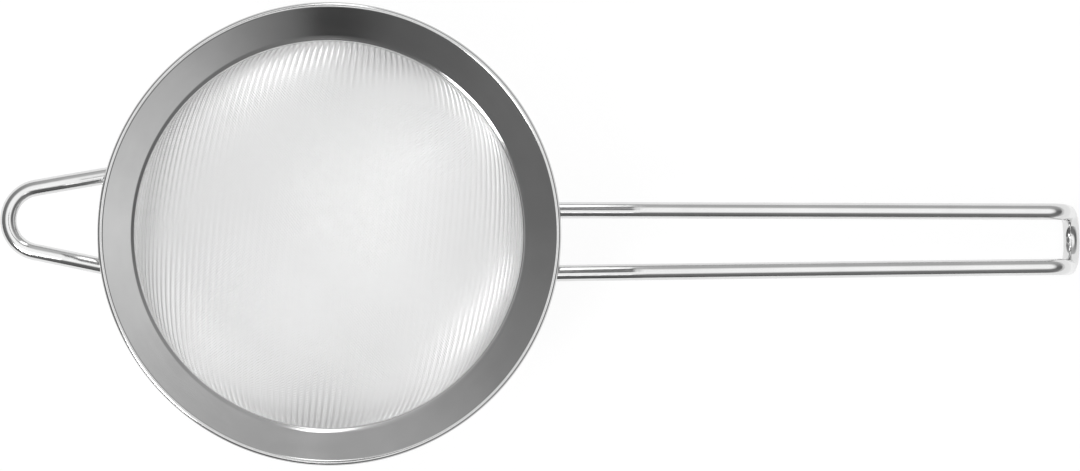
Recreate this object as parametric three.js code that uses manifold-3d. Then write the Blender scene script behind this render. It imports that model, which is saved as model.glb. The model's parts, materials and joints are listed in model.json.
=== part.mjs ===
// Bowl strainer: a conical rim band with a curled edge, a bowl of woven wire clamped below it,
// and a hairpin handle and a rest hook of round wire, both welded to the band.
// Millimetres, +Z up, handle along +X. The strainer lies as it does on a table, on the woven bowl
// and the turned-down end of the handle, with the origin under the middle of the whole.

import * as THREE from "three";
import { mergeVertices } from "three/addons/utils/BufferGeometryUtils.js";
import Module from "manifold-3d";

const degrees = Math.PI / 180;

// Rim band: one sheet, from the collar at the bottom, over the lip and up the cone to the curl
const rimDiameter = 140;
const curlDiameter = 2.1;
const curlSweep = 270 * degrees;
const bandSheet = 0.5;
const coneSlope = 42 * degrees;
const bandWidth = 11.3;
const lipBend = 1.75;
const collarHeight = 4;

// Woven bowl: strands of a flat round blank, pressed into a dome. Each strand floats over a few of the
// strands that cross it and then under as many, and its neighbour does so one further on, so that the
// floats line up as the ribs of a twill.
const domeDepth = 39.5;
const strandsEachWay = 25;
const strandDiameter = 0.8;
const weaveTurn = 39 * degrees;
const twillFloat = 2;

// Ring that holds the cloth against the collar
const ringSheet = 0.6;
const ringHeight = 3.4;

// Round wire of the handle and the hook
const wireDiameter = 5;
const weldThroat = 0.9;

// Handle: reaches are measured out from the rim's edge, where it passes clear below the curl. It is
// welded on a little to one side of the bowl's middle, and so is the hook.
const handleClear = 0.4;
const handleLift = 4 * degrees;
const kinkReach = 22;
const kinkBend = 40;
const gripReach = 149.5;
const footTurn = 71 * degrees;
const footBend = 5;
const footRun = 8;
const handleTip = 8.35;
const handleTaper = 0.42 * degrees;
const handleAside = -2.67;
const handleTurn = 0.36 * degrees;

// Rest hook, opposite the handle
const hookClear = 1;
const hookReach = 27;
const hookTip = 9.8;
const hookSpread = 10.8 * degrees;
const hookRun = 6;
const hookBend = 60;
const hookDroop = 8 * degrees;
const hookAside = 2.65;
const hookTurn = -0.95 * degrees;

// Clearance between pieces that touch
const seatGap = 0.3;

// Finishes of the steel
const bandColour = 0xbfc1c3;
const wireColour = 0xc4c6c8;
const clothColour = 0xd4d6d8;
const weldColour = 0xa8a9ab;
const polishedRoughness = 0.2;
const drawnRoughness = 0.3;
const weldRoughness = 0.45;

// Fineness of the facets
const roundSegments = 56;
const bendStep = 30 * degrees;
const tipSteps = 12;
const wireSides = 8;
const strandSides = 4;
const weldSides = 12;
const weldTubeSides = 6;
const mergeDistance = 1e-3;
const tiltAccuracy = 1e-6;
const steepestTilt = 45 * degrees;

// Sizes that follow from the ones above
const rimRadius = rimDiameter / 2;
const wireRadius = wireDiameter / 2;
const curlRadius = curlDiameter / 2;
const curlBend = curlRadius - bandSheet / 2;
const curlCentre = new THREE.Vector2(rimRadius - curlRadius, -curlRadius);
const collarRadius = rimRadius - bandWidth + bandSheet / 2;
const lipTurn = Math.PI / 2 - coneSlope;
const coneFoot = collarRadius + lipBend * (1 - Math.cos(lipTurn));
const coneTop = curlCentre.x - curlBend * Math.sin(coneSlope);
const coneRun = (coneTop - coneFoot) / Math.cos(coneSlope);
const bandRise = collarHeight + lipBend * Math.sin(lipTurn) + coneRun * Math.sin(coneSlope);
const collarBottom = curlCentre.y + curlBend * Math.cos(coneSlope) - bandRise;
const weaveOffset = (strandDiameter + seatGap) / 2;
const clothHalf = weaveOffset + strandDiameter / 2;
const clothRadius = collarRadius + bandSheet / 2 + seatGap + clothHalf;
const ringRadius = clothRadius + clothHalf + seatGap;
const handleDrop = curlDiameter + handleClear + wireRadius;
const hookDrop = curlDiameter + hookClear + wireRadius;

const bowlAxis = new THREE.Vector3(0, 0, 1);

const wasm = await Module();
wasm.setup();

// Solids for joining and cutting, and back again
function toSolid(geometry) {
  const bare = geometry.clone();
  bare.deleteAttribute("normal");
  bare.deleteAttribute("uv");
  const merged = mergeVertices(bare, mergeDistance);
  const vertProperties = merged.attributes.position.array;
  const triVerts = new Uint32Array(merged.index.array);
  return new wasm.Manifold(new wasm.Mesh({ numProp: 3, vertProperties, triVerts }));
}

function toGeometry(solid) {
  const { vertProperties, triVerts } = solid.getMesh();
  return new THREE.BufferGeometry()
    .setAttribute("position", new THREE.BufferAttribute(vertProperties, 3))
    .setIndex(new THREE.BufferAttribute(triVerts, 1));
}

function steelPiece(geometry, name, color, roughness) {
  const material = new THREE.MeshStandardMaterial({ color, roughness, metalness: 1 });
  const mesh = new THREE.Mesh(geometry, material);
  mesh.name = name;
  return mesh;
}

function stepFrom(point, direction, distance) {
  return new THREE.Vector2(distance, 0).rotateAround(new THREE.Vector2(), direction).add(point);
}

// A side profile made as a bender makes it, by runs and turns. Its stops are the distances
// along it at which a swept or offset section has to stand.
function bentProfile(start, startHeading, moves) {
  const path = new THREE.CurvePath();
  const stops = [0];
  let heading = startHeading;
  let at = start;
  for (const { run, turn, radius } of moves) {
    const from = stops.at(-1);
    if (run !== undefined) {
      const end = stepFrom(at, heading, run);
      path.add(new THREE.LineCurve(at, end));
      stops.push(from + run);
      at = end;
      continue;
    }
    const toCentre = heading + (Math.sign(turn) * Math.PI) / 2;
    const centre = stepFrom(at, toCentre, radius);
    const startAngle = toCentre - Math.PI;
    const arc = new THREE.EllipseCurve(
      centre.x, centre.y, radius, radius, startAngle, startAngle + turn, turn < 0,
    );
    path.add(arc);
    const steps = Math.ceil(Math.abs(turn) / bendStep - mergeDistance);
    for (let step = 1; step <= steps; step++) {
      stops.push(from + (radius * Math.abs(turn) * step) / steps);
    }
    heading += turn;
    at = arc.getPoint(1);
  }
  return { path, stops, length: stops.at(-1) };
}

// The points of a profile at its stops, moved sideways to the left of its direction
function offsetPoints({ path, stops, length }, distance) {
  return stops.map((stop) => {
    const tangent = path.getTangent(stop / length);
    const aside = new THREE.Vector2(-tangent.y, tangent.x).multiplyScalar(distance);
    return path.getPoint(stop / length).add(aside);
  });
}

function revolve(points) {
  return new THREE.LatheGeometry(points, roundSegments).rotateX(Math.PI / 2);
}

// A path through given stations, where a swept section stands square at each one
class StationPath extends THREE.Curve {
  constructor(stations) {
    super();
    this.stations = stations;
    this.last = stations.length - 1;
  }

  getPointAt(t, target = new THREE.Vector3()) {
    return target.copy(this.stations[Math.round(t * this.last)]);
  }

  getTangentAt(t, target = new THREE.Vector3()) {
    const index = Math.round(t * this.last);
    const here = this.stations[index];
    const ahead = this.stations[Math.min(index + 1, this.last)].clone().sub(here).normalize();
    const behind = here.clone().sub(this.stations[Math.max(index - 1, 0)]).normalize();
    return target.addVectors(ahead, behind).normalize();
  }
}

function sweep(stations, diameter, sides) {
  const section = new THREE.Shape().absarc(0, 0, diameter / 2, 0, 2 * Math.PI);
  return new THREE.ExtrudeGeometry(section, {
    curveSegments: sides / 2,
    steps: stations.length - 1,
    extrudePath: new StationPath(stations),
  });
}

// Rim band: the curl's crest is one level facet, on which the strainer stands when it is turned over
function rimProfile() {
  const toCrest = coneSlope - bendStep / 2;
  return bentProfile(new THREE.Vector2(collarRadius, collarBottom), Math.PI / 2, [
    { run: collarHeight },
    { turn: -lipTurn, radius: lipBend },
    { run: coneRun },
    { turn: -toCrest, radius: curlBend },
    { turn: -bendStep, radius: curlBend },
    { turn: toCrest + bendStep - curlSweep, radius: curlBend },
  ]);
}

function rimBand() {
  const profile = rimProfile();
  const inside = offsetPoints(profile, bandSheet / 2);
  const outside = offsetPoints(profile, -bandSheet / 2);
  return revolve([...outside, ...inside.reverse(), outside[0]]);
}

// Everything that welded wire keeps clear of: what lies inside the cone, the curl and the ring
function bandKeepOut() {
  const { path, length } = rimProfile();
  const coneStart = collarHeight + lipBend * lipTurn;
  const cone = { path, stops: [coneStart, coneStart + coneRun], length };
  const [coneLow, coneHigh] = offsetPoints(cone, -bandSheet / 2 - seatGap);
  const ringEdge = ringRadius + ringSheet + seatGap;
  const inside = toSolid(revolve([
    new THREE.Vector2(0, collarBottom),
    new THREE.Vector2(ringEdge, collarBottom),
    new THREE.Vector2(ringEdge, collarBottom + collarHeight + seatGap),
    coneLow,
    coneHigh,
    new THREE.Vector2(coneHigh.x, curlRadius),
    new THREE.Vector2(0, curlRadius),
  ]));
  const curl = new THREE.TorusGeometry(curlCentre.x, curlRadius + seatGap, weldSides, roundSegments);
  return inside.add(toSolid(curl));
}

// Woven bowl: the blank's middle is the bottom of the dome, and distances from it are kept
function clothProfile() {
  const dome = new THREE.EllipseCurve(0, collarBottom, clothRadius, domeDepth, -Math.PI / 2, 0);
  const top = new THREE.Vector2(clothRadius, collarBottom + collarHeight);
  const path = new THREE.CurvePath();
  path.add(dome);
  path.add(new THREE.LineCurve(dome.getPoint(1), top));
  return path;
}

// A point of the blank on the pressed cloth, raised out of its middle face
function pressed(cloth, blankX, blankY, raise) {
  const share = Math.min(Math.hypot(blankX, blankY) / cloth.getLength(), 1);
  const place = cloth.getPoint(share);
  const tangent = cloth.getTangent(share);
  const around = Math.atan2(blankY, blankX);
  const radius = place.x + tangent.y * raise;
  return new THREE.Vector3(
    radius * Math.cos(around),
    radius * Math.sin(around),
    place.y - tangent.x * raise,
  );
}

// The side of the cloth that a warp strand takes at a crossing with a weft strand
function warpSide(warp, weft) {
  return Math.floor((weft - warp) / twillFloat) % 2 === 0 ? 1 : -1;
}

// One strand: it passes over and under the strands that cross it, and ends at the blank's edge
function strandStations(cloth, index, isWarp) {
  const sideAt = (crossing) => (isWarp ? warpSide(index, crossing) : -warpSide(crossing, index));
  const blankRadius = cloth.getLength();
  const pitch = (2 * blankRadius) / (strandsEachWay + 1);
  const middle = (strandsEachWay - 1) / 2;
  const aside = (index - middle) * pitch;
  const end = Math.sqrt(blankRadius ** 2 - aside ** 2);
  const alongs = [-end];
  for (let crossing = 0; crossing < strandsEachWay; crossing++) {
    const along = (crossing - middle) * pitch;
    if (Math.abs(along) < end - strandDiameter) alongs.push(along);
  }
  alongs.push(end);
  return alongs.map((along) => {
    const place = along / pitch + middle;
    const before = Math.floor(place);
    const wave = THREE.MathUtils.lerp(sideAt(before), sideAt(before + 1), place - before);
    const [blankX, blankY] = isWarp ? [aside, along] : [along, aside];
    return pressed(cloth, blankX, blankY, wave * weaveOffset);
  });
}

function wovenBowl() {
  const cloth = clothProfile();
  const bowl = new THREE.Group();
  for (const kind of ["warp", "weft"]) {
    for (let index = 0; index < strandsEachWay; index++) {
      const stations = strandStations(cloth, index, kind === "warp");
      const name = `${kind}_wire_${String(index + 1).padStart(2, "0")}`;
      const strand = sweep(stations, strandDiameter, strandSides);
      bowl.add(steelPiece(strand, name, clothColour, drawnRoughness));
    }
  }
  bowl.rotation.z = weaveTurn;
  return bowl;
}

// Ring round the cloth at the collar
function clothRing() {
  const bottom = collarBottom + (collarHeight - ringHeight) / 2;
  const top = bottom + ringHeight;
  const inner = ringRadius;
  const outer = ringRadius + ringSheet;
  const corners = [[inner, bottom], [outer, bottom], [outer, top], [inner, top], [inner, bottom]];
  return revolve(corners.map(([radius, height]) => new THREE.Vector2(radius, height)));
}

// A hairpin of wire: two legs tangent to a round tip, laid out flat and then bent to a side profile
function hairpin({ path, stops, length }, start, tipReach, tipRadius, spread) {
  const tipCentre = tipReach - tipRadius;
  const legEnd = tipCentre + tipRadius * Math.sin(spread);
  const legSide = tipRadius * Math.cos(spread);
  const bent = (along, aside) => {
    const place = path.getPoint(along / length);
    return new THREE.Vector3(start + place.x, aside, place.y);
  };
  const legStops = stops.filter((stop) => stop < legEnd - wireRadius);
  const legAside = (stop) => legSide + (legEnd - stop) * Math.tan(spread);
  const leg = (side) => legStops.map((stop) => bent(stop, side * legAside(stop)));
  const tip = [];
  for (let step = 0; step <= tipSteps; step++) {
    const angle = (Math.PI / 2 - spread) * (1 - (2 * step) / tipSteps);
    tip.push(bent(tipCentre + tipRadius * Math.cos(angle), tipRadius * Math.sin(angle)));
  }
  return [...leg(1), ...tip, ...leg(-1).reverse()];
}

// The legs start well inside the band, where the cut then leaves an end that fits the cone
const legStart = collarRadius - wireDiameter;
const legToRim = rimRadius - legStart;

// A wire's stations, turned about the bowl's axis and then moved aside
function placed(stations, turn, aside) {
  const shift = new THREE.Vector3(0, aside, 0);
  return stations.map((station) => station.applyAxisAngle(bowlAxis, turn).add(shift));
}

function handleStations() {
  const firstRun = (legToRim + kinkReach) / Math.cos(handleLift);
  const gripRun = gripReach - kinkReach - kinkBend * Math.sin(handleLift);
  const toFoot = firstRun + kinkBend * handleLift + gripRun + footBend * footTurn;
  const tipReach = toFoot + footRun + handleTip;
  const startDrop = handleDrop + legToRim * Math.tan(handleLift);
  const profile = bentProfile(new THREE.Vector2(0, -startDrop), handleLift, [
    { run: firstRun },
    { turn: -handleLift, radius: kinkBend },
    { run: gripRun },
    { turn: -footTurn, radius: footBend },
    { run: footRun + handleTip },
  ]);
  const stations = hairpin(profile, legStart, tipReach, handleTip, handleTaper);
  return placed(stations, handleTurn, handleAside);
}

function hookStations() {
  const firstRun = legToRim + hookRun;
  const tipReach = legToRim + hookReach;
  const profile = bentProfile(new THREE.Vector2(0, -hookDrop), 0, [
    { run: firstRun },
    { turn: -hookDroop, radius: hookBend },
    { run: tipReach - firstRun },
  ]);
  const stations = hairpin(profile, legStart, tipReach, hookTip, hookSpread);
  return placed(stations, Math.PI + hookTurn, hookAside);
}

// The place on a leg's axis where it meets the cone's outer face
function weldFoot(from, to) {
  const faceRise = (curlBend - bandSheet / 2) / Math.cos(coneSlope);
  const faceHeight = (radius) => curlCentre.y + faceRise + (radius - curlCentre.x) * Math.tan(coneSlope);
  const above = (point) => point.z - faceHeight(Math.hypot(point.x, point.y));
  const share = above(from) / (above(from) - above(to));
  return from.clone().lerp(to, share);
}

// Weld bead: a ring on the cone's face, where a tube round the wire would meet it, cut clear of both
function weldBead(stations, keepOut) {
  const [from, to] = stations;
  const foot = weldFoot(from, to);
  const square = new THREE.Vector3(-Math.sin(coneSlope), 0, Math.cos(coneSlope)).applyAxisAngle(
    bowlAxis, Math.atan2(foot.y, foot.x),
  );
  const along = to.clone().sub(from).normalize();
  const side = new THREE.Vector3().crossVectors(along, bowlAxis).normalize();
  const rise = new THREE.Vector3().crossVectors(side, along);
  const ontoCone = (across) => across.addScaledVector(along, -across.dot(square) / along.dot(square));
  const place = new THREE.Matrix4().makeBasis(ontoCone(side), ontoCone(rise), square).setPosition(foot);
  const ring = new THREE.TorusGeometry(wireRadius + seatGap, weldThroat, weldTubeSides, weldSides);
  ring.applyMatrix4(place);
  const clearWire = toSolid(sweep(stations, wireDiameter + 2 * seatGap, wireSides));
  return toGeometry(toSolid(ring).subtract(clearWire).subtract(keepOut));
}

function weldedWire(group, stations, keepOut, name, weldName) {
  const wire = toSolid(sweep(stations, wireDiameter, wireSides)).subtract(keepOut);
  group.add(steelPiece(toGeometry(wire), name, wireColour, polishedRoughness));
  const legs = { left: stations, right: [...stations].reverse() };
  for (const [side, leg] of Object.entries(legs)) {
    group.add(steelPiece(weldBead(leg, keepOut), `${weldName}_${side}`, weldColour, weldRoughness));
  }
}

// The tilt at which the bowl and the handle's foot stand at the same height
function restingTilt(strainer, bowl, handle) {
  const lowest = (object) => new THREE.Box3().setFromObject(object, true).min.z;
  let low = 0;
  let high = steepestTilt;
  while (high - low > tiltAccuracy) {
    strainer.rotation.y = (low + high) / 2;
    strainer.updateMatrixWorld(true);
    if (lowest(handle) > lowest(bowl)) low = strainer.rotation.y;
    else high = strainer.rotation.y;
  }
  return low;
}

const keepOut = bandKeepOut();
const bowl = wovenBowl();
const handle = new THREE.Group();
weldedWire(handle, handleStations(), keepOut, "handle", "handle_weld");
const hook = new THREE.Group();
weldedWire(hook, hookStations(), keepOut, "rest_hook", "hook_weld");

const strainer = new THREE.Group();
strainer.add(steelPiece(rimBand(), "rim_band", bandColour, polishedRoughness));
strainer.add(steelPiece(clothRing(), "cloth_ring", bandColour, drawnRoughness));
strainer.add(bowl, handle, hook);

strainer.rotation.y = restingTilt(strainer, bowl, handle);
strainer.updateMatrixWorld(true);
const extent = new THREE.Box3().setFromObject(strainer, true);
const middle = extent.getCenter(new THREE.Vector3());
strainer.position.set(-middle.x, -middle.y, -extent.min.z);

const part = new THREE.Group();
part.add(strainer);

export default part;
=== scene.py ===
"""Bowl strainer of stainless steel: fine meshes, finishes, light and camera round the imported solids."""

import json
import math

import bpy
import numpy as np
from mathutils import Matrix, Vector


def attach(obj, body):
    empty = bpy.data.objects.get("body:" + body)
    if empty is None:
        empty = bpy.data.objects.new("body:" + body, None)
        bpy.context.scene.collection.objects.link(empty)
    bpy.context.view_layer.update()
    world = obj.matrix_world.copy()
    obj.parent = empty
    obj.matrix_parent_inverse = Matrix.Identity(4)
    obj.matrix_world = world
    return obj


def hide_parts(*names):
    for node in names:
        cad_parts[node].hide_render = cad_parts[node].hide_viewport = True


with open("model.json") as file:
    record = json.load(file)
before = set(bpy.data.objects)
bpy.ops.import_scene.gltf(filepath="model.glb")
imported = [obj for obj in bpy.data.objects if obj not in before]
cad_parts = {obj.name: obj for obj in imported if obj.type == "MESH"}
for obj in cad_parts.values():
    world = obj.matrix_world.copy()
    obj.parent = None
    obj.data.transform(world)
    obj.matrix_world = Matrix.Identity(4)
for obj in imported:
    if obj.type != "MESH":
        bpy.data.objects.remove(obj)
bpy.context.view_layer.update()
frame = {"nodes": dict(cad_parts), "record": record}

# Lengths below are in millimetres, in the strainer's own axes: +Z out of the bowl, z = 0 at the rim
METRES = 0.001
DEGREES = math.pi / 180

# Rim band
RIM_RADIUS = 70
CURL_RADIUS = 1.05
CURL_SWEEP = 270 * DEGREES
BAND_SHEET = 0.5
CONE_SLOPE = 42 * DEGREES
BAND_WIDTH = 11.3
LIP_BEND = 0.6
LIP_SLOPE = 20 * DEGREES
LIP_FLARE = 3.5
COLLAR_HEIGHT = 4.916

# Cloth and the ring that holds it
DOME_DEPTH = 40.09
CLOTH_PITCH = 0.75
CLOTH_WIRE = 0.3
CLOTH_CRIMP = 0.21
CLOTH_TURN = 39 * DEGREES
CLOTH_CLEAR = 0.05
TWILL_FLOAT = 2
RING_SHEET = 0.6
RING_HEIGHT = 3.4

# Wires of the handle and the hook
WIRE_RADIUS = 2.5
WELD_LEG = 1
WELD_SINK = 0.1
WELD_WAVE = 0.08
WELD_WAVES = 3
WELD_RIPPLE = 0.05
WELD_RIPPLES = 7
WELD_HOLLOW = 0.38
HANDLE_CLEAR = 0.4
HANDLE_LIFT = 4 * DEGREES
KINK_REACH = 22
KINK_BEND = 40
GRIP_REACH = 149.5
FOOT_TURN = 71 * DEGREES
FOOT_BEND = 5
FOOT_RUN = 8
HANDLE_TIP = 8.35
HANDLE_TAPER = 0.42 * DEGREES
HANDLE_ASIDE = -2.67
HANDLE_TURN = 0.36 * DEGREES
HOOK_CLEAR = 1
HOOK_REACH = 27
HOOK_TIP = 9.8
HOOK_SPREAD = 10.8 * DEGREES
HOOK_RUN = 6
HOOK_BEND = 60
HOOK_DROOP = 8 * DEGREES
HOOK_ASIDE = 2.65
HOOK_TURN = -0.95 * DEGREES

# Fineness of the meshes
ROUND_SEGMENTS = 224
ARC_STEP = 6 * DEGREES
EDGE_STEPS = 7
WIRE_SIDES = 24
WIRE_STEP = 0.8
STRAND_SIDES = 4
DOME_STEPS = 1200
WELD_SIDES = 40
WELD_ARC_STEPS = 8
SLIDE_HALVINGS = 40
SHARP_ANGLE = 50 * DEGREES

# Maps of the pieces: one that polishing lines follow, and one with a strip for each wire of the cloth
STRIP_MAP = "Strip"
BAKE_MAP = "OFBake"
STRIP_END = 0.01
STRIP_GAP = 0.15

# Finishes: greys from deep to pale, roughness, and lines as (how fine across, how fine along)
BAND_GREYS = (0.665, 0.725)
BAND_ROUGHNESS = (0.1, 0.17)
BAND_LINES = (260, 5)
RING_GREYS = (0.605, 0.665)
RING_ROUGHNESS = (0.22, 0.34)
RING_LINES = (120, 6)
WIRE_GREYS = (0.705, 0.765)
WIRE_ROUGHNESS = (0.1, 0.18)
WIRE_LINES = (30, 8)
CLOTH_GREYS = (0.95, 0.99)
CLOTH_ROUGHNESS = (0.4, 0.34)
WELD_DEEP = (0.42, 0.39, 0.35)
WELD_PALE = (0.62, 0.61, 0.6)
WELD_ROUGHNESS = (0.55, 0.35)

# Patterns of the finishes: how fine they are, and the depth of their relief in metres
PATTERN_LOW = 0.3
PATTERN_HIGH = 0.7
CLOUD_SCALE = 60
CLOUD_DETAIL = 4
CLOUD_ROUGHNESS = 0.55
CLOTH_CLOUD_SCALE = 400
CLOTH_CLOUD_DETAIL = 2
WELD_CLOUD_SCALE = 900
WELD_CLOUD_DETAIL = 5
LINE_SCALE = 1
LINE_DETAIL = 6
LINE_ROUGHNESS = 0.6
LINE_STRENGTH = 0.3
POLISHED_DEPTH = 0.00001
DRAWN_DEPTH = 0.00002
WELD_STRENGTH = 0.6
WELD_DEPTH = 0.0002

# Sizes that follow from the ones above
CURL_BEND = CURL_RADIUS - BAND_SHEET / 2
CURL_CENTRE = np.array([RIM_RADIUS - CURL_RADIUS, -CURL_RADIUS])
COLLAR_RADIUS = RIM_RADIUS - BAND_WIDTH + BAND_SHEET / 2
LIP_TURN = math.pi / 2 - LIP_SLOPE
LIP_OUT = LIP_BEND * (1 - math.cos(LIP_TURN)) + LIP_FLARE * (math.sin(CONE_SLOPE) - math.sin(LIP_SLOPE))
LIP_RISE = LIP_BEND * math.sin(LIP_TURN) + LIP_FLARE * (math.cos(LIP_SLOPE) - math.cos(CONE_SLOPE))
CONE_FOOT = COLLAR_RADIUS + LIP_OUT
CONE_RUN = (CURL_CENTRE[0] - CURL_BEND * math.sin(CONE_SLOPE) - CONE_FOOT) / math.cos(CONE_SLOPE)
BAND_RISE = COLLAR_HEIGHT + LIP_RISE + CONE_RUN * math.sin(CONE_SLOPE)
COLLAR_BOTTOM = CURL_CENTRE[1] + CURL_BEND * math.cos(CONE_SLOPE) - BAND_RISE
CLOTH_HALF = CLOTH_CRIMP + CLOTH_WIRE / 2
CLOTH_RADIUS = COLLAR_RADIUS + BAND_SHEET / 2 + CLOTH_CLEAR + CLOTH_HALF
RING_RADIUS = CLOTH_RADIUS + CLOTH_HALF + CLOTH_CLEAR
LEG_START = COLLAR_RADIUS - 2 * WIRE_RADIUS
LEG_TO_RIM = RIM_RADIUS - LEG_START

# Stage, in metres: the floor, and how bright the room is round it. The walls go round by shares of a
# turn, from the west by the south, each with its grey.
FLOOR_REACH = 6
FLOOR_GLOW = 0.8
FLOOR_WHITE = 1.1
PAPER_GREY = 0.92
PAPER_ROUGHNESS = 0.9
WALLS = [
    (0, 0.13), (0.125, 0.12), (0.21, 0.1), (0.235, 0.015), (0.265, 0.015), (0.285, 0.16), (0.33, 0.35),
    (0.375, 0.54), (0.5, 0.8), (0.625, 0.55), (0.75, 0.44), (0.875, 0.36), (1, 0.13),
]
UPPER_WALLS = [
    (0, 0.19), (0.125, 0.16), (0.25, 0.12), (0.3, 0.22), (0.375, 0.2), (0.5, 0.15), (0.625, 0.4),
    (0.72, 0.5), (0.75, 0.6), (0.79, 0.5), (0.83, 0.4), (0.875, 0.3), (1, 0.19),
]
UPPER_FROM = 0.16
UPPER_TO = 0.3
CEILING = 1.2
CEILING_AXIS = Vector((0.08, 0.06, 1)).normalized()
CEILING_FROM = 0.72
CEILING_TO = 0.91

# Photograph's frame and the camera that sees it
IMAGE_WIDTH = 1080
SENSOR_WIDTH = 36
CAMERA_PLACE = Vector((0.0958, -0.0407, 1.6))
FOCAL_PIXELS = 5151
CAMERA_PITCH = -1.479 * DEGREES
CAMERA_YAW = -3.561 * DEGREES
NEAREST_SEEN = 0.05


def strainer_axes():
    """The place of the strainer's own axes: on the bowl's axis, level with the top of the rim."""
    crest = next(mount for mount in frame["record"]["mounts"] if mount["name"] == "rim_crest")
    up = Vector(crest["axis"]).normalized()
    side = Vector((0, 1, 0))
    points = np.array([vertex.co for vertex in frame["nodes"]["rim_band"].data.vertices])
    middle = points.mean(axis=0)
    rise = ((points - middle) @ np.array(up)).max()
    place = Matrix((side.cross(up), side, up)).transposed().to_4x4()
    place.translation = Vector(middle) + up * rise
    return place


AXES = strainer_axes()


def to_world(points):
    """Points of the strainer's own axes, in the world."""
    turn = np.array(AXES.to_3x3())
    return points * METRES @ turn.T + np.array(AXES.translation)


def turned(points, angle, aside=0):
    """Points turned about the bowl's axis, and then moved sideways."""
    return points @ np.array(Matrix.Rotation(angle, 3, "Z")).T + np.array([0, aside, 0])


def make_piece(name, points, faces, material, nodes, uvs=None, uv_name=STRIP_MAP):
    """One mesh of the strainer, in place of the solids that it stands for."""
    mesh = bpy.data.meshes.new(name)
    faces = np.asarray(faces)
    corners = faces.shape[1]
    mesh.vertices.add(len(points))
    mesh.vertices.foreach_set("co", to_world(points).astype(np.float32).ravel())
    mesh.loops.add(faces.size)
    mesh.loops.foreach_set("vertex_index", faces.astype(np.int32).ravel())
    mesh.polygons.add(len(faces))
    mesh.polygons.foreach_set("loop_start", np.arange(0, faces.size, corners, dtype=np.int32))
    mesh.polygons.foreach_set("use_smooth", np.ones(len(faces), dtype=bool))
    if uvs is not None:
        layer = mesh.uv_layers.new(name=uv_name)
        layer.data.foreach_set("uv", np.asarray(uvs, dtype=np.float32).ravel())
    mesh.update(calc_edges=True)
    mesh.validate()
    mesh.set_sharp_from_angle(angle=SHARP_ANGLE)
    mesh.materials.append(material)
    piece = bpy.data.objects.new(name, mesh)
    bpy.context.scene.collection.objects.link(piece)
    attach(piece, "root")
    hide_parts(*nodes)
    return piece


def grid_faces(rows, columns, wrap_rows, wrap_columns):
    """Quads between the points of a grid, and their places in a map of it."""
    row, column = np.meshgrid(
        np.arange(rows if wrap_rows else rows - 1),
        np.arange(columns if wrap_columns else columns - 1),
        indexing="ij",
    )
    corner_steps = [(0, 0), (0, 1), (1, 1), (1, 0)]
    faces = np.stack(
        [
            (row + down) % rows * columns + (column + along) % columns
            for down, along in corner_steps
        ],
        axis=-1,
    )
    row_end = rows if wrap_rows else rows - 1
    column_end = columns if wrap_columns else columns - 1
    uvs = np.stack(
        [
            np.stack([(row + down) / row_end, (column + along) / column_end], axis=-1)
            for down, along in corner_steps
        ],
        axis=-2,
    )
    return faces.reshape(-1, 4), uvs.reshape(-1, 4, 2)


def end_caps(rings, sides):
    """Quads across the two ends of a tube of rings."""
    step = np.arange(sides // 2 - 1)
    across = np.stack([step, step + 1, sides - 2 - step, sides - 1 - step], axis=1)
    return np.concatenate([across[:, ::-1], across + (rings - 1) * sides])


def spokes_round(first, second, sides):
    """Unit spokes round a line at each of its points, from one direction across it towards another."""
    angles = np.arange(sides) * 2 * math.pi / sides
    return first[:, None] * np.cos(angles)[:, None] + second[:, None] * np.sin(angles)[:, None]


# Profiles, bent from straight runs and round turns
def bent_profile(start, heading, moves):
    """Points along a bent profile, the heading at each, and the distance along it."""
    points = [np.array(start, dtype=float)]
    headings = [heading]
    distances = [0.0]

    def advance(point, length):
        points.append(point)
        headings.append(heading)
        distances.append(distances[-1] + length)

    for kind, amount, *radius in moves:
        if kind == "run":
            ahead = np.array([math.cos(heading), math.sin(heading)])
            advance(points[-1] + ahead * amount, amount)
            continue
        to_centre = heading + math.copysign(math.pi / 2, amount)
        centre = points[-1] + radius[0] * np.array([math.cos(to_centre), math.sin(to_centre)])
        steps = math.ceil(abs(amount) / ARC_STEP)
        for step in range(1, steps + 1):
            from_centre = to_centre + math.pi + amount * step / steps
            heading += amount / steps
            outward = np.array([math.cos(from_centre), math.sin(from_centre)])
            advance(centre + radius[0] * outward, radius[0] * abs(amount) / steps)
    return np.array(points), np.array(headings), np.array(distances)


def sheet_outline(points, headings, sheet):
    """The closed outline of a sheet that follows a profile, with its cut edges rounded."""
    left = np.stack([-np.sin(headings), np.cos(headings)], axis=1) * sheet / 2

    def cut_edge(centre, heading):
        angles = heading + np.linspace(-math.pi / 2, math.pi / 2, EDGE_STEPS)[1:-1]
        return centre + sheet / 2 * np.stack([np.cos(angles), np.sin(angles)], axis=1)

    far_edge = cut_edge(points[-1], headings[-1])
    near_edge = cut_edge(points[0], headings[0] + math.pi)
    return np.concatenate([points - left, far_edge, (points + left)[::-1], near_edge])[::-1]


def lathe(outline):
    """A closed outline turned about the bowl's axis."""
    angles = np.arange(ROUND_SEGMENTS) * 2 * math.pi / ROUND_SEGMENTS
    radius, height = outline[:, 0], outline[:, 1]
    points = np.stack(
        [
            np.outer(np.cos(angles), radius),
            np.outer(np.sin(angles), radius),
            np.broadcast_to(height, (ROUND_SEGMENTS, len(outline))),
        ],
        axis=-1,
    )
    faces, uvs = grid_faces(ROUND_SEGMENTS, len(outline), True, True)
    return points.reshape(-1, 3), faces, uvs


# Materials
def new_material(name):
    """A bare metal, with its nodes, its links and its shader."""
    material = bpy.data.materials.new(name)
    material.use_nodes = True
    nodes = material.node_tree.nodes
    shader = nodes["Principled BSDF"]
    shader.inputs["Metallic"].default_value = 1
    return material, nodes, material.node_tree.links, shader


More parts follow.
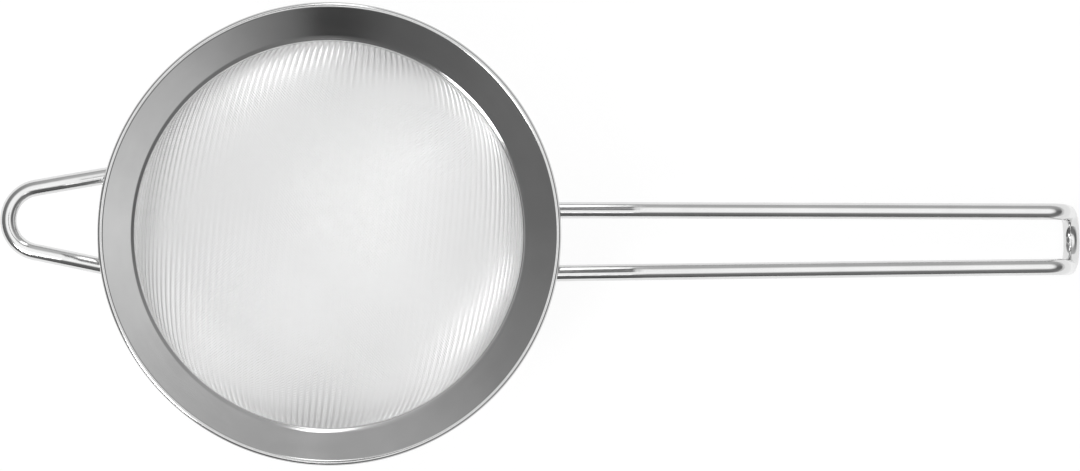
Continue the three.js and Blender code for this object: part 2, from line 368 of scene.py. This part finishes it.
def noise(nodes, links, vector, scale, detail, roughness=CLOUD_ROUGHNESS):
    texture = nodes.new("ShaderNodeTexNoise")
    texture.inputs["Scale"].default_value = scale
    texture.inputs["Detail"].default_value = detail
    texture.inputs["Roughness"].default_value = roughness
    links.new(vector, texture.inputs["Vector"])
    return texture.outputs["Fac"]


def mapped(nodes, links, value, low, high, to_low, to_high):
    node = nodes.new("ShaderNodeMapRange")
    node.inputs["From Min"].default_value = low
    node.inputs["From Max"].default_value = high
    node.inputs["To Min"].default_value = to_low
    node.inputs["To Max"].default_value = to_high
    links.new(value, node.inputs["Value"])
    return node.outputs["Result"]


def coloured(nodes, links, shader, pattern, deep, pale):
    """The metal's colour, from deep to pale over the middle of a pattern."""
    node = nodes.new("ShaderNodeValToRGB")
    places = (PATTERN_LOW, PATTERN_HIGH)
    for element, place, colour in zip(node.color_ramp.elements, places, (deep, pale), strict=True):
        element.position = place
        element.color = (*colour, 1)
    links.new(pattern, node.inputs["Fac"])
    links.new(node.outputs["Color"], shader.inputs["Base Color"])


def roughened(nodes, links, shader, pattern, roughness):
    """The metal's roughness, from its first to its second value over the middle of a pattern."""
    rough = mapped(nodes, links, pattern, PATTERN_LOW, PATTERN_HIGH, *roughness)
    links.new(rough, shader.inputs["Roughness"])


def bumped(nodes, links, shader, pattern, strength, depth):
    """Fine relief in the metal's surface, from a pattern and its depth."""
    bump = nodes.new("ShaderNodeBump")
    bump.inputs["Strength"].default_value = strength
    bump.inputs["Distance"].default_value = depth
    links.new(pattern, bump.inputs["Height"])
    links.new(bump.outputs["Normal"], shader.inputs["Normal"])


def stretched(nodes, links, across, along):
    """The piece's own strip map, stretched so that a pattern drawn on it runs as polishing lines do."""
    uv = nodes.new("ShaderNodeUVMap")
    uv.uv_map = STRIP_MAP
    scale = nodes.new("ShaderNodeMapping")
    scale.inputs["Scale"].default_value = (along, across, 1)
    links.new(uv.outputs["UV"], scale.inputs["Vector"])
    return scale.outputs["Vector"]


def polished_steel(name, greys, roughness, fineness, line_depth):
    """Polished stainless steel: a bright metal with faint lines along it and soft cloudy patches."""
    material, nodes, links, shader = new_material(name)
    place = nodes.new("ShaderNodeTexCoord").outputs["Object"]
    clouds = noise(nodes, links, place, CLOUD_SCALE, CLOUD_DETAIL)
    deep, pale = ((grey, grey, grey) for grey in greys)
    coloured(nodes, links, shader, clouds, deep, pale)
    strip = stretched(nodes, links, *fineness)
    lines = noise(nodes, links, strip, LINE_SCALE, LINE_DETAIL, LINE_ROUGHNESS)
    roughened(nodes, links, shader, lines, roughness)
    bumped(nodes, links, shader, lines, LINE_STRENGTH, line_depth)
    return material


def cloth_steel():
    """Bright drawn wire of the cloth, a little duller in patches."""
    material, nodes, links, shader = new_material("cloth_steel")
    place = nodes.new("ShaderNodeTexCoord").outputs["Object"]
    clouds = noise(nodes, links, place, CLOTH_CLOUD_SCALE, CLOTH_CLOUD_DETAIL)
    deep, pale = ((grey, grey, grey) for grey in CLOTH_GREYS)
    coloured(nodes, links, shader, clouds, deep, pale)
    roughened(nodes, links, shader, clouds, CLOTH_ROUGHNESS)
    return material


def weld_steel():
    """Weld metal: dull, rippled and faintly straw-coloured from the heat."""
    material, nodes, links, shader = new_material("weld_steel")
    place = nodes.new("ShaderNodeTexCoord").outputs["Object"]
    ripple = noise(nodes, links, place, WELD_CLOUD_SCALE, WELD_CLOUD_DETAIL)
    coloured(nodes, links, shader, ripple, WELD_DEEP, WELD_PALE)
    roughened(nodes, links, shader, ripple, WELD_ROUGHNESS)
    bumped(nodes, links, shader, ripple, WELD_STRENGTH, WELD_DEPTH)
    return material


BAND_STEEL = polished_steel("band_steel", BAND_GREYS, BAND_ROUGHNESS, BAND_LINES, POLISHED_DEPTH)
RING_STEEL = polished_steel("ring_steel", RING_GREYS, RING_ROUGHNESS, RING_LINES, DRAWN_DEPTH)
WIRE_STEEL = polished_steel("wire_steel", WIRE_GREYS, WIRE_ROUGHNESS, WIRE_LINES, POLISHED_DEPTH)
CLOTH_STEEL = cloth_steel()
WELD_STEEL = weld_steel()


# Rim band and the ring round the cloth
def rim_band():
    """The band in one sheet: collar, lip, cone and curl."""
    points, headings, _ = bent_profile(
        (COLLAR_RADIUS, COLLAR_BOTTOM), math.pi / 2, [
            ("run", COLLAR_HEIGHT),
            ("turn", -LIP_TURN, LIP_BEND),
            ("turn", CONE_SLOPE - LIP_SLOPE, LIP_FLARE),
            ("run", CONE_RUN),
            ("turn", -CURL_SWEEP, CURL_BEND),
        ],
    )
    solid = lathe(sheet_outline(points, headings, BAND_SHEET))
    make_piece("rim_band_sheet", solid[0], solid[1], BAND_STEEL, ["rim_band"], solid[2])


def cloth_ring():
    """The plain ring outside the cloth's edge."""
    bottom = COLLAR_BOTTOM + (COLLAR_HEIGHT - RING_HEIGHT) / 2
    points, headings, _ = bent_profile(
        (RING_RADIUS + RING_SHEET / 2, bottom), math.pi / 2, [("run", RING_HEIGHT)]
    )
    solid = lathe(sheet_outline(points, headings, RING_SHEET))
    make_piece("cloth_ring_sheet", solid[0], solid[1], RING_STEEL, ["cloth_ring"], solid[2])


# Woven cloth: a flat round blank whose distances from the middle are kept when it is pressed
def cloth_profile():
    """Radius, height and the two slopes of the pressed cloth, against the distance from its middle."""
    angles = np.linspace(-math.pi / 2, 0, DOME_STEPS)
    dome = np.stack([CLOTH_RADIUS * np.cos(angles), COLLAR_BOTTOM + DOME_DEPTH * np.sin(angles)], axis=1)
    points = np.concatenate([dome, [[CLOTH_RADIUS, COLLAR_BOTTOM + COLLAR_HEIGHT]]])
    steps = np.linalg.norm(np.diff(points, axis=0), axis=1)
    distances = np.concatenate([[0], np.cumsum(steps)])
    slopes = np.gradient(points, distances, axis=0)
    slopes /= np.linalg.norm(slopes, axis=1)[:, None]
    return distances, points, slopes


def pressed(profile, blank_x, blank_y):
    """Points of the blank on the pressed cloth, and the cloth's upper face direction there."""
    distances, points, slopes = profile
    reach = np.hypot(blank_x, blank_y)
    around = np.arctan2(blank_y, blank_x)
    radius, height = (np.interp(reach, distances, points[:, axis]) for axis in (0, 1))
    slope_out, slope_up = (np.interp(reach, distances, slopes[:, axis]) for axis in (0, 1))
    place = np.stack([radius * np.cos(around), radius * np.sin(around), height], axis=1)
    face = np.stack([-slope_up * np.cos(around), -slope_up * np.sin(around), slope_out], axis=1)
    return place, face


def warp_over(warp, weft):
    """1 where the warp wire lies above the weft wire, -1 where it lies below."""
    return 1 - 2 * (np.floor_divide(weft - warp, TWILL_FLOAT) % 2)


def strand_path(profile, index, count, is_warp):
    """The middle line of one wire of the cloth, and the cloth's face direction along it."""
    edge = profile[0][-1]
    middle = (count - 1) / 2
    aside = (index - middle) * CLOTH_PITCH
    end = math.sqrt(edge**2 - aside**2)
    crossings = np.arange(count)
    along = (crossings - middle) * CLOTH_PITCH
    met = np.abs(along) < end
    along, crossings = along[met], crossings[met]
    if is_warp:
        place, face = pressed(profile, np.full_like(along, aside), along)
        side = warp_over(index, crossings)
    else:
        place, face = pressed(profile, along, np.full_like(along, aside))
        side = -warp_over(crossings, index)
    return place + face * (side * CLOTH_CRIMP)[:, None], face


def strand_tube(path, face):
    """A thin tube along a wire's middle line."""
    ahead = np.gradient(path, axis=0)
    across = np.cross(ahead, face)
    across /= np.linalg.norm(across, axis=1)[:, None]
    upright = np.cross(across, ahead)
    upright /= np.linalg.norm(upright, axis=1)[:, None]
    ring = spokes_round(upright, across, STRAND_SIDES)
    points = (path[:, None] + ring * CLOTH_WIRE / 2).reshape(-1, 3)
    faces, uvs = grid_faces(len(path), STRAND_SIDES, False, True)
    return points, np.concatenate([faces, end_caps(len(path), STRAND_SIDES)]), uvs


def strand_map(uvs, row, rows):
    """A wire's strip in the map of its half of the cloth, with its two end faces beside it."""
    tube = np.array([STRIP_END, STRIP_GAP]) + uvs * np.array([1 - 2 * STRIP_END, 1 - 2 * STRIP_GAP])
    near_end = np.array([(0, 0), (1, 0), (1, 1), (0, 1)]) * (1 - 2 * STRIP_GAP) + STRIP_GAP
    near_end[:, 0] *= STRIP_END
    far_end = near_end + np.array([1 - STRIP_END, 0])
    strip = np.concatenate([tube, [near_end, far_end]])
    strip[..., 1] = (row + strip[..., 1]) / rows
    return strip


def woven_cloth():
    """The whole cloth, in two halves of warp wires and two of weft wires."""
    profile = cloth_profile()
    count = 2 * math.floor(profile[0][-1] / CLOTH_PITCH) - 1
    halves = {"near": range(count // 2), "far": range(count // 2, count)}
    for kind in ("warp", "weft"):
        solids = sorted(name for name in frame["nodes"] if name.startswith(f"{kind}_wire"))
        shares = {"near": solids[: len(solids) // 2], "far": solids[len(solids) // 2:]}
        for half, indices in halves.items():
            points, faces, uvs, start = [], [], [], 0
            for row, index in enumerate(indices):
                path, face = strand_path(profile, index, count, kind == "warp")
                strand_points, strand_faces, strand_uvs = strand_tube(path, face)
                points.append(strand_points)
                faces.append(strand_faces + start)
                uvs.append(strand_map(strand_uvs, row, len(indices)))
                start += len(strand_points)
            make_piece(
                f"{kind}_cloth_{half}",
                turned(np.concatenate(points), CLOTH_TURN),
                np.concatenate(faces),
                CLOTH_STEEL, shares[half], np.concatenate(uvs), BAKE_MAP,
            )


# Handle and hook: hairpins of round wire, laid out flat and bent to a side profile
def hairpin(profile, tip_reach, tip_radius, spread):
    """The middle line of a hairpin, from one end to the other."""
    points, _, distances = profile
    tip_centre = tip_reach - tip_radius
    leg_end = tip_centre + tip_radius * math.sin(spread)
    leg_side = tip_radius * math.cos(spread)
    leg_along = np.arange(0, leg_end, WIRE_STEP)
    leg_aside = leg_side + (leg_end - leg_along) * math.tan(spread)
    tip_half = math.pi / 2 - spread
    tip_angles = np.linspace(tip_half, -tip_half, math.ceil(2 * tip_half / ARC_STEP))
    along = np.concatenate([leg_along, tip_centre + tip_radius * np.cos(tip_angles), leg_along[::-1]])
    aside = np.concatenate([leg_aside, tip_radius * np.sin(tip_angles), -leg_aside[::-1]])
    reach, height = (np.interp(along, distances, points[:, axis]) for axis in (0, 1))
    return np.stack([LEG_START + reach, aside, height], axis=1)


def cone_outside(points):
    """How far points lie above the outer face of the cone; below it they are outside."""
    face_rise = (CURL_BEND - BAND_SHEET / 2) / math.cos(CONE_SLOPE)
    radius = np.hypot(points[..., 0], points[..., 1])
    face = CURL_CENTRE[1] + face_rise + (radius - CURL_CENTRE[0]) * math.tan(CONE_SLOPE)
    return points[..., 2] - face


def slide_to_cone(points, direction):
    """Points moved along a wire until they meet the outer face of the cone."""
    low = np.zeros(len(points))
    high = np.full(len(points), 2 * LEG_TO_RIM)
    for _ in range(SLIDE_HALVINGS):
        middle = (low + high) / 2
        inside = cone_outside(points + middle[:, None] * direction) > 0
        low = np.where(inside, middle, low)
        high = np.where(inside, high, middle)
    return points + ((low + high) / 2)[:, None] * direction


def wire_sections(path):
    """The two directions across a wire at each of its points, without twist along it."""
    ahead = np.gradient(path, axis=0)
    ahead /= np.linalg.norm(ahead, axis=1)[:, None]
    across = np.zeros_like(path)
    across[0] = np.cross(ahead[0], [0, 0, 1])
    for index in range(1, len(path)):
        carried = across[index - 1] - ahead[index] * (across[index - 1] @ ahead[index])
        across[index] = carried
    across /= np.linalg.norm(across, axis=1)[:, None]
    return ahead, across, np.cross(ahead, across)


def wire_tube(path):
    """A round wire whose two ends are cut to fit the outer face of the cone."""
    ahead, across, upright = wire_sections(path)
    rings = path[:, None] + spokes_round(across, upright, WIRE_SIDES) * WIRE_RADIUS
    near_end = slide_to_cone(rings[0], ahead[0]) - ahead[0] * WELD_SINK
    far_end = slide_to_cone(rings[-1], -ahead[-1]) + ahead[-1] * WELD_SINK
    clear = (cone_outside(rings) < -WIRE_STEP).all(axis=1)
    rings = np.concatenate([[near_end], rings[clear], [far_end]])
    faces, uvs = grid_faces(len(rings), WIRE_SIDES, False, True)
    caps = end_caps(len(rings), WIRE_SIDES)
    cap_uvs = np.zeros((len(caps), 4, 2))
    return rings.reshape(-1, 3), np.concatenate([faces, caps]), np.concatenate([uvs, cap_uvs])


def welds(path):
    """Fillets of weld metal round the two ends of a wire."""
    ahead, across, upright = wire_sections(path)
    fillets = []
    for end, outward in ((0, 1), (-1, -1)):
        direction = outward * ahead[end]
        angles = outward * np.arange(WELD_SIDES) * 2 * math.pi / WELD_SIDES
        spokes = np.outer(np.cos(angles), across[end]) + np.outer(np.sin(angles), upright[end])
        foot = slide_to_cone(path[end] + spokes * WIRE_RADIUS, direction)
        middle = slide_to_cone(path[end][None], direction)[0]
        around = math.atan2(middle[1], middle[0])
        out = np.array([math.cos(around), math.sin(around), 0])
        square = out * math.sin(CONE_SLOPE) - np.array([0, 0, math.cos(CONE_SLOPE)])
        away = foot - middle
        away -= np.outer(away @ square, square)
        away /= np.linalg.norm(away, axis=1)[:, None]
        wave = WELD_WAVE * np.sin(WELD_WAVES * angles + end)
        ripple = WELD_RIPPLE * np.sin(WELD_RIPPLES * angles)
        leg = (WELD_LEG * (1 + wave + ripple))[:, None]
        rounds = np.linspace(0, math.pi / 2, WELD_ARC_STEPS)
        rows = [foot - direction * WELD_SINK - away * WELD_SINK]
        for share in rounds:
            bulge = 1 - WELD_HOLLOW + WELD_HOLLOW * abs(math.cos(2 * share))
            rows.append(foot + leg * bulge * (direction * math.cos(share) + away * math.sin(share)))
        fillets.append(np.stack(rows, axis=1))
    return fillets


def welded_wire(name, path, weld_name):
    """A wire and the two beads that hold it to the band."""
    rings, faces, uvs = wire_tube(path)
    make_piece(f"{name}_wire", rings, faces, WIRE_STEEL, [name], uvs)
    for side, fillet in zip(("left", "right"), welds(path), strict=True):
        rows, columns, _ = fillet.shape
        faces, _ = grid_faces(rows, columns, True, True)
        points = fillet.reshape(-1, 3)
        weld = f"{weld_name}_{side}"
        make_piece(f"{weld}_bead", points, faces, WELD_STEEL, [weld])


def handle():
    """The long hairpin, kinked near the rim and turned down at its closed end."""
    first_run = (LEG_TO_RIM + KINK_REACH) / math.cos(HANDLE_LIFT)
    grip_run = GRIP_REACH - KINK_REACH - KINK_BEND * math.sin(HANDLE_LIFT)
    to_foot = first_run + KINK_BEND * HANDLE_LIFT + grip_run + FOOT_BEND * FOOT_TURN
    drop = 2 * CURL_RADIUS + HANDLE_CLEAR + WIRE_RADIUS + LEG_TO_RIM * math.tan(HANDLE_LIFT)
    profile = bent_profile((0, -drop), HANDLE_LIFT, [
        ("run", first_run),
        ("turn", -HANDLE_LIFT, KINK_BEND),
        ("run", grip_run),
        ("turn", -FOOT_TURN, FOOT_BEND),
        ("run", FOOT_RUN + HANDLE_TIP),
    ])
    path = hairpin(profile, to_foot + FOOT_RUN + HANDLE_TIP, HANDLE_TIP, HANDLE_TAPER)
    welded_wire("handle", turned(path, HANDLE_TURN, HANDLE_ASIDE), "handle_weld")


def rest_hook():
    """The short wide hairpin opposite the handle."""
    first_run = LEG_TO_RIM + HOOK_RUN
    tip_reach = LEG_TO_RIM + HOOK_REACH
    drop = 2 * CURL_RADIUS + HOOK_CLEAR + WIRE_RADIUS
    profile = bent_profile((0, -drop), 0, [
        ("run", first_run),
        ("turn", -HOOK_DROOP, HOOK_BEND),
        ("run", tip_reach - first_run),
    ])
    path = hairpin(profile, tip_reach, HOOK_TIP, HOOK_SPREAD)
    welded_wire("rest_hook", turned(path, math.pi + HOOK_TURN, HOOK_ASIDE), "hook_weld")


# Stage: floor, light and camera
def floor():
    """White paper. Seen directly or in the metal it is close to white, and it keeps a soft shadow."""
    mesh = bpy.data.meshes.new("floor")
    corners = [(-FLOOR_REACH, -FLOOR_REACH, 0), (FLOOR_REACH, -FLOOR_REACH, 0)]
    corners += [(FLOOR_REACH, FLOOR_REACH, 0), (-FLOOR_REACH, FLOOR_REACH, 0)]
    mesh.from_pydata(corners, [], [(0, 1, 2, 3)])
    plane = bpy.data.objects.new("floor", mesh)
    bpy.context.scene.collection.objects.link(plane)
    material = bpy.data.materials.new("floor_paper")
    material.use_nodes = True
    nodes, links = material.node_tree.nodes, material.node_tree.links
    paper = nodes["Principled BSDF"]
    paper.inputs["Base Color"].default_value = (PAPER_GREY, PAPER_GREY, PAPER_GREY, 1)
    paper.inputs["Roughness"].default_value = PAPER_ROUGHNESS
    white = nodes.new("ShaderNodeEmission")
    white.inputs["Strength"].default_value = FLOOR_WHITE
    path = nodes.new("ShaderNodeLightPath")
    seen = nodes.new("ShaderNodeMath")
    seen.operation = "MAXIMUM"
    links.new(path.outputs["Is Camera Ray"], seen.inputs[0])
    links.new(path.outputs["Is Glossy Ray"], seen.inputs[1])
    share = nodes.new("ShaderNodeMath")
    share.operation = "MULTIPLY"
    share.inputs[1].default_value = FLOOR_GLOW
    links.new(seen.outputs["Value"], share.inputs[0])
    mix = nodes.new("ShaderNodeMixShader")
    links.new(share.outputs["Value"], mix.inputs["Fac"])
    links.new(paper.outputs["BSDF"], mix.inputs[1])
    links.new(white.outputs["Emission"], mix.inputs[2])
    links.new(mix.outputs["Shader"], nodes["Material Output"].inputs["Surface"])
    mesh.materials.append(material)


def card(name, place, facing, width, height, grey):
    """A plain board beside or above the table, which only the metal shows."""
    mesh = bpy.data.meshes.new(name)
    x, y = width / 2, height / 2
    mesh.from_pydata([(-x, -y, 0), (x, -y, 0), (x, y, 0), (-x, y, 0)], [], [(0, 1, 2, 3)])
    board = bpy.data.objects.new(name, mesh)
    board.location = place
    board.rotation_euler = (Vector(facing) - Vector(place)).to_track_quat("Z", "Y").to_euler()
    bpy.context.scene.collection.objects.link(board)
    material = bpy.data.materials.new(name)
    material.use_nodes = True
    shader = material.node_tree.nodes["Principled BSDF"]
    shader.inputs["Base Color"].default_value = (grey, grey, grey, 1)
    shader.inputs["Roughness"].default_value = 1
    shader.inputs["Specular IOR Level"].default_value = 0
    mesh.materials.append(material)


def soft_light(name, place, target, width, height, radiance):
    """A lamp with an oval face, as bright to look at as its radiance says."""
    data = bpy.data.lights.new(name, "AREA")
    data.shape = "ELLIPSE"
    data.size = width
    data.size_y = height
    data.energy = radiance * math.pi * math.pi * width / 2 * height / 2
    lamp = bpy.data.objects.new(name, data)
    lamp.location = place
    lamp.rotation_euler = (Vector(target) - Vector(place)).to_track_quat("-Z", "Y").to_euler()
    bpy.context.scene.collection.objects.link(lamp)


def around_room(nodes, links, direction, stops):
    """Greys of the room by the compass, from stops that start in the west and go by the south."""
    turn = nodes.new("ShaderNodeTexGradient")
    turn.gradient_type = "RADIAL"
    links.new(direction, turn.inputs["Vector"])
    greys = nodes.new("ShaderNodeValToRGB")
    links.new(turn.outputs["Fac"], greys.inputs["Fac"])
    elements = greys.color_ramp.elements
    for place, _ in stops[1:-1]:
        elements.new(place)
    for element, (_, grey) in zip(elements, stops, strict=True):
        element.color = (grey, grey, grey, 1)
    return greys.outputs["Color"]


def blended(nodes, links, share, low, high):
    mix = nodes.new("ShaderNodeMix")
    mix.data_type = "RGBA"
    links.new(share, mix.inputs["Factor"])
    links.new(low, mix.inputs["A"])
    links.new(high, mix.inputs["B"])
    return mix.outputs["Result"]


def studio():
    """A pale room that is darker to the west and the south, under a bright ceiling."""
    world = bpy.data.worlds.new("studio")
    bpy.context.scene.world = world
    world.use_nodes = True
    nodes, links = world.node_tree.nodes, world.node_tree.links
    direction = nodes.new("ShaderNodeTexCoord").outputs["Generated"]
    split = nodes.new("ShaderNodeSeparateXYZ")
    links.new(direction, split.inputs["Vector"])
    height = split.outputs["Z"]
    walls = around_room(nodes, links, direction, WALLS)
    upper = around_room(nodes, links, direction, UPPER_WALLS)
    ceiling = nodes.new("ShaderNodeRGB")
    ceiling.outputs["Color"].default_value = (CEILING, CEILING, CEILING, 1)
    to_upper = mapped(nodes, links, height, UPPER_FROM, UPPER_TO, 0, 1)
    nearness = nodes.new("ShaderNodeVectorMath")
    nearness.operation = "DOT_PRODUCT"
    nearness.inputs[1].default_value = CEILING_AXIS
    links.new(direction, nearness.inputs[0])
    to_ceiling = mapped(nodes, links, nearness.outputs["Value"], CEILING_FROM, CEILING_TO, 0, 1)
    room = blended(nodes, links, to_upper, walls, upper)
    room = blended(nodes, links, to_ceiling, room, ceiling.outputs["Color"])
    links.new(room, nodes["Background"].inputs["Color"])
    soft_light(
        "key", place=(-0.75, -0.75, 1.75), target=(-0.05, 0, 0), width=0.6, height=0.6, radiance=4
    )
    soft_light(
        "left_box", place=(-0.9, -0.85, 1.18), target=(-0.06, 0, 0.05),
        width=0.6, height=0.2, radiance=14,
    )
    soft_light(
        "far_lamp", place=(-0.004, 0.361, 0.297), target=(-0.064, -0.059, 0.045),
        width=0.09, height=0.31, radiance=2,
    )
    soft_light(
        "near_lamp", place=(0.125, -1.15, 1.6), target=(0.02, 0, 0.05),
        width=0.25, height=0.2, radiance=2.5,
    )
    card(
        "camera_boom", place=(0.15, 1.05, 1.7), facing=(0.15, 1.05, 0), width=0.18, height=2.3, grey=0.02
    )


def camera():
    """The view of the photograph, from high above the table."""
    data = bpy.data.cameras.new("camera")
    data.sensor_width = SENSOR_WIDTH
    data.sensor_fit = "HORIZONTAL"
    data.lens = FOCAL_PIXELS / IMAGE_WIDTH * SENSOR_WIDTH
    data.clip_start = NEAREST_SEEN
    eye = bpy.data.objects.new("camera", data)
    turn = Matrix.Rotation(CAMERA_PITCH, 3, "X") @ Matrix.Rotation(CAMERA_YAW, 3, "Y")
    eye.matrix_world = Matrix.Translation(CAMERA_PLACE) @ turn.transposed().to_4x4()
    bpy.context.scene.collection.objects.link(eye)
    bpy.context.scene.camera = eye


rim_band()
cloth_ring()
woven_cloth()
handle()
rest_hook()
floor()
studio()
camera()
bpy.context.scene.view_settings.view_transform = "Standard"
